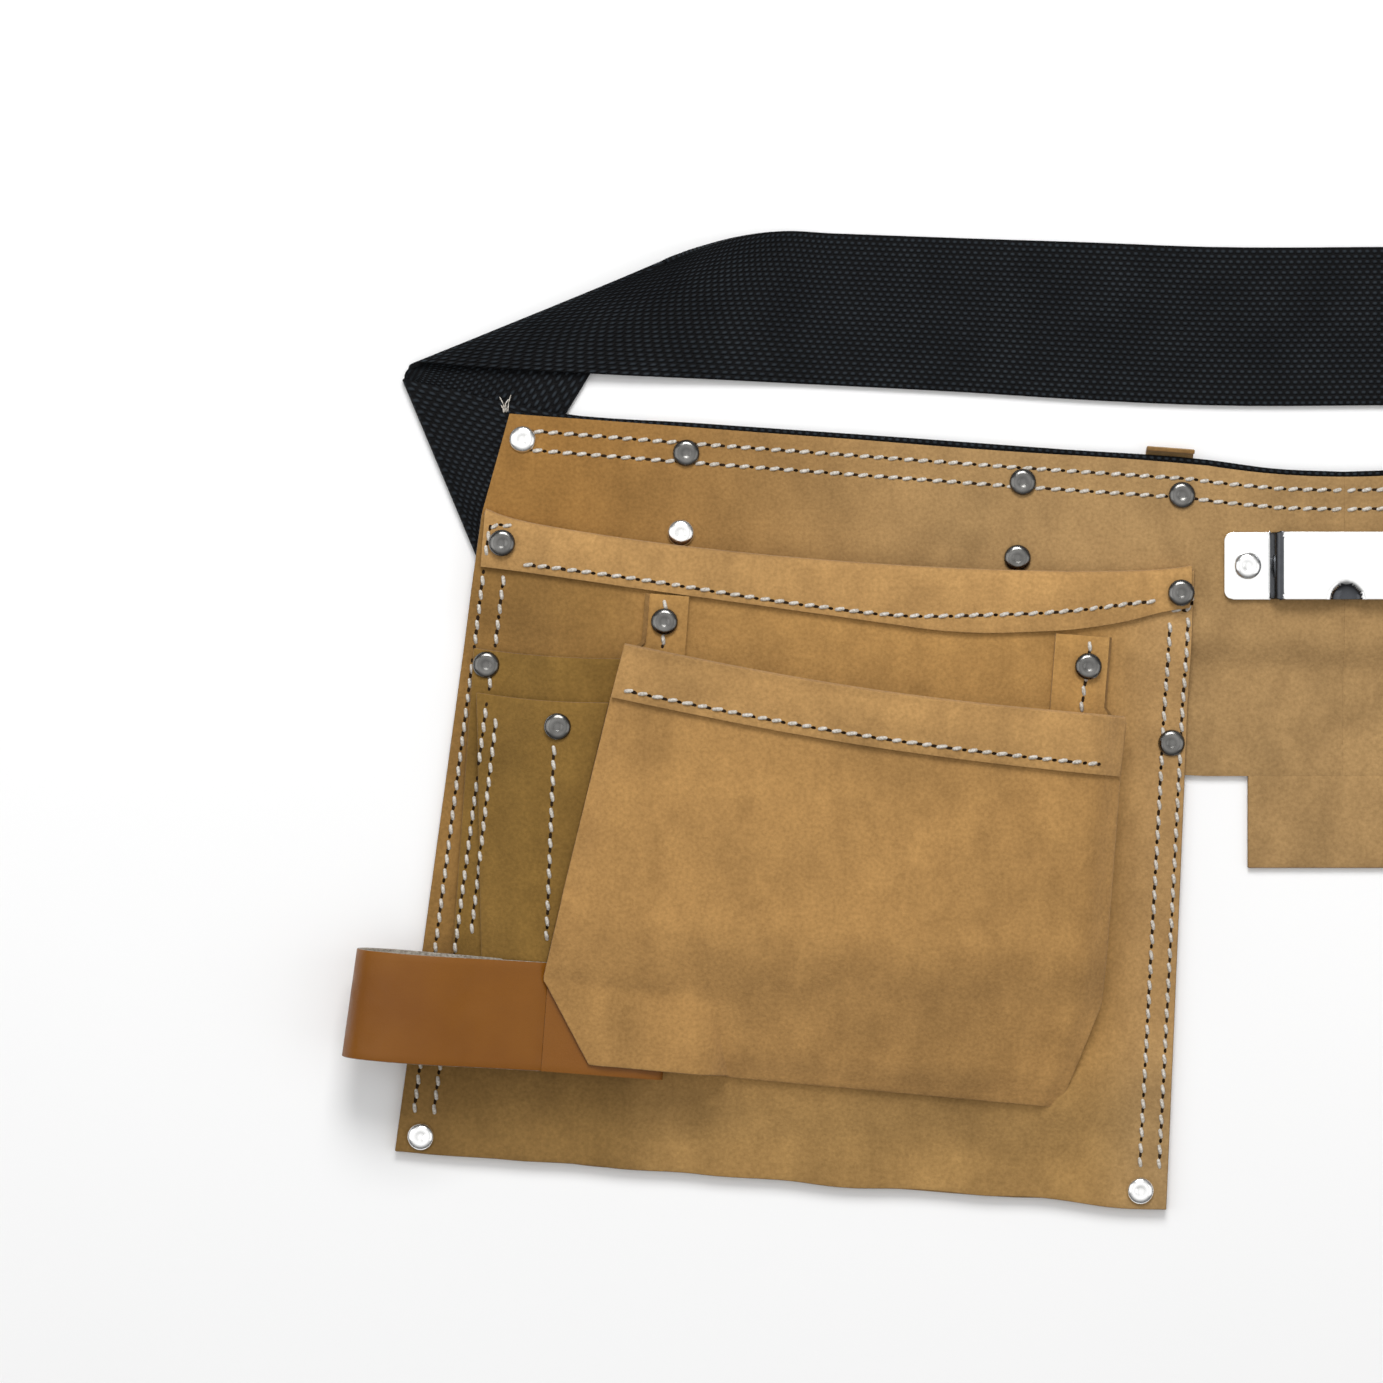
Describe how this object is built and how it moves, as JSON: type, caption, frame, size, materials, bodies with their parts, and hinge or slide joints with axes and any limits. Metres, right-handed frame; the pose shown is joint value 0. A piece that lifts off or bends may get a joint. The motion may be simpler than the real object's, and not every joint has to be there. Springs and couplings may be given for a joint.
{
  "type": "tool belt",
  "caption": "Suede carpenter's tool belt with two pouches, tool pockets, hammer loops, a steel clip plate and a folded webbing belt with a side-release buckle.",
  "frame": {"origin": "on the back of the leather blank's middle, on the table, on the belt's centre line", "axes": "+X along the belt to the wearer's left as laid out, +Y up the pouches towards the belt, +Z away from the table, out of the pouches' fronts"},
  "size_m": [0.6284, 0.3156, 0.0301],
  "materials": {
    "suede": "tan split suede, matt and napped",
    "smooth_leather": "russet smooth leather",
    "black_webbing": "black woven webbing",
    "nickel": "nickel plated steel",
    "black_plastic": "moulded black plastic",
    "thread": "waxed off-white thread"
  },
  "bodies": {
    "centre": {"centre_panel": "suede", "clip_plate": "nickel", "plate_rivet_1": "nickel", "plate_rivet_2": "nickel", "webbing_front_centre": "black_webbing", "webbing_back_centre": "black_webbing"},
    "left_half": {"left_back_panel": "suede", "left_belt_keeper": "suede", "left_belt_loop_rivet_1": "nickel", "left_belt_loop_rivet_2": "nickel", "left_belt_loop_rivet_3": "nickel", "left_belt_loop_rivet_4": "nickel", "left_bottom_rivet_1": "nickel", "left_bottom_rivet_2": "nickel", "left_hammer_loop_anchor": "smooth_leather", "left_inner_belt_loop": "suede", "left_inner_gusset": "suede", "left_main_pocket": "suede", "left_mouth_rivet_1": "nickel", "left_mouth_rivet_2": "nickel", "left_outer_belt_loop": "suede", "left_outer_gusset": "suede", "left_outer_pocket": "suede", "left_pocket_rivet_1": "nickel", "left_pocket_rivet_2": "nickel", "left_tool_pocket_back": "suede", "left_tool_pocket_front": "suede", "webbing_left": "black_webbing"},
    "right_half": {"right_back_panel": "suede", "right_belt_keeper": "suede", "right_belt_loop_rivet_1": "nickel", "right_belt_loop_rivet_2": "nickel", "right_belt_loop_rivet_3": "nickel", "right_belt_loop_rivet_4": "nickel", "right_bottom_rivet_1": "nickel", "right_bottom_rivet_2": "nickel", "right_hammer_loop_anchor": "smooth_leather", "right_inner_belt_loop": "suede", "right_inner_gusset": "suede", "right_main_pocket": "suede", "right_mouth_rivet_1": "nickel", "right_mouth_rivet_2": "nickel", "right_outer_belt_loop": "suede", "right_outer_gusset": "suede", "right_outer_pocket": "suede", "right_pocket_rivet_1": "nickel", "right_pocket_rivet_2": "nickel", "right_tool_pocket_back": "suede", "right_tool_pocket_front": "suede", "webbing_right": "black_webbing", "buckle_housing": "black_plastic", "webbing_plug_run": "black_webbing"},
    "buckle_plug": {"buckle_plug": "black_plastic", "webbing_tail": "black_webbing"},
    "centre_tongue": {"centre_tongue": "suede"},
    "latch_arm_lower": {"latch_arm_lower": "black_plastic"},
    "latch_arm_upper": {"latch_arm_upper": "black_plastic"},
    "left_hammer_loop": {"left_hammer_loop": "smooth_leather"},
    "right_hammer_loop": {"right_hammer_loop": "smooth_leather"}
  },
  "joints": [
    {"name": "left_fold", "type": "hinge", "parent": "centre", "child": "left_half", "pos_m": [-0.043, 0, 0.0055], "axis": [0, 1, 0], "range_deg": [0, 80]},
    {"name": "right_fold", "type": "hinge", "parent": "centre", "child": "right_half", "pos_m": [0.043, 0, 0.0055], "axis": [0, -1, 0], "range_deg": [0, 80]},
    {"name": "buckle_slide", "type": "slide", "parent": "right_half", "child": "buckle_plug", "axis": [-0.999, -0.0436, 0], "range_m": [0, 0.03], "deforming": ["webbing_plug_run", "latch_arm_upper", "latch_arm_lower"]},
    {"name": "latch_arm_upper_squeeze", "type": "hinge", "parent": "buckle_plug", "child": "latch_arm_upper", "pos_m": [0.1132, 0.1475, 0.0056], "axis": [0, 0, -1], "range_deg": [0, 8], "stiffness_Nm_per_rad": 0.2},
    {"name": "latch_arm_lower_squeeze", "type": "hinge", "parent": "buckle_plug", "child": "latch_arm_lower", "pos_m": [0.11482, 0.11054, 0.0056], "axis": [0, 0, 1], "range_deg": [0, 8], "stiffness_Nm_per_rad": 0.2},
    {"name": "left_hammer_loop_lift", "type": "hinge", "parent": "left_half", "child": "left_hammer_loop", "pos_m": [-0.25406, -0.09114, 0.0189], "axis": [0.075, 0.9972, 0], "range_deg": [0, 40]},
    {"name": "right_hammer_loop_lift", "type": "hinge", "parent": "right_half", "child": "right_hammer_loop", "pos_m": [0.25406, -0.09114, 0.0189], "axis": [0.075, -0.9972, 0], "range_deg": [0, 40]},
    {"name": "centre_tongue_lift", "type": "hinge", "parent": "centre", "child": "centre_tongue", "pos_m": [0, -0.016, 0.0018], "axis": [-1, 0, 0], "range_deg": [0, 60]}
  ],
  "couplings": [
    {"joint": "latch_arm_lower_squeeze", "follows": "latch_arm_upper_squeeze", "ratio": 1}
  ]
}
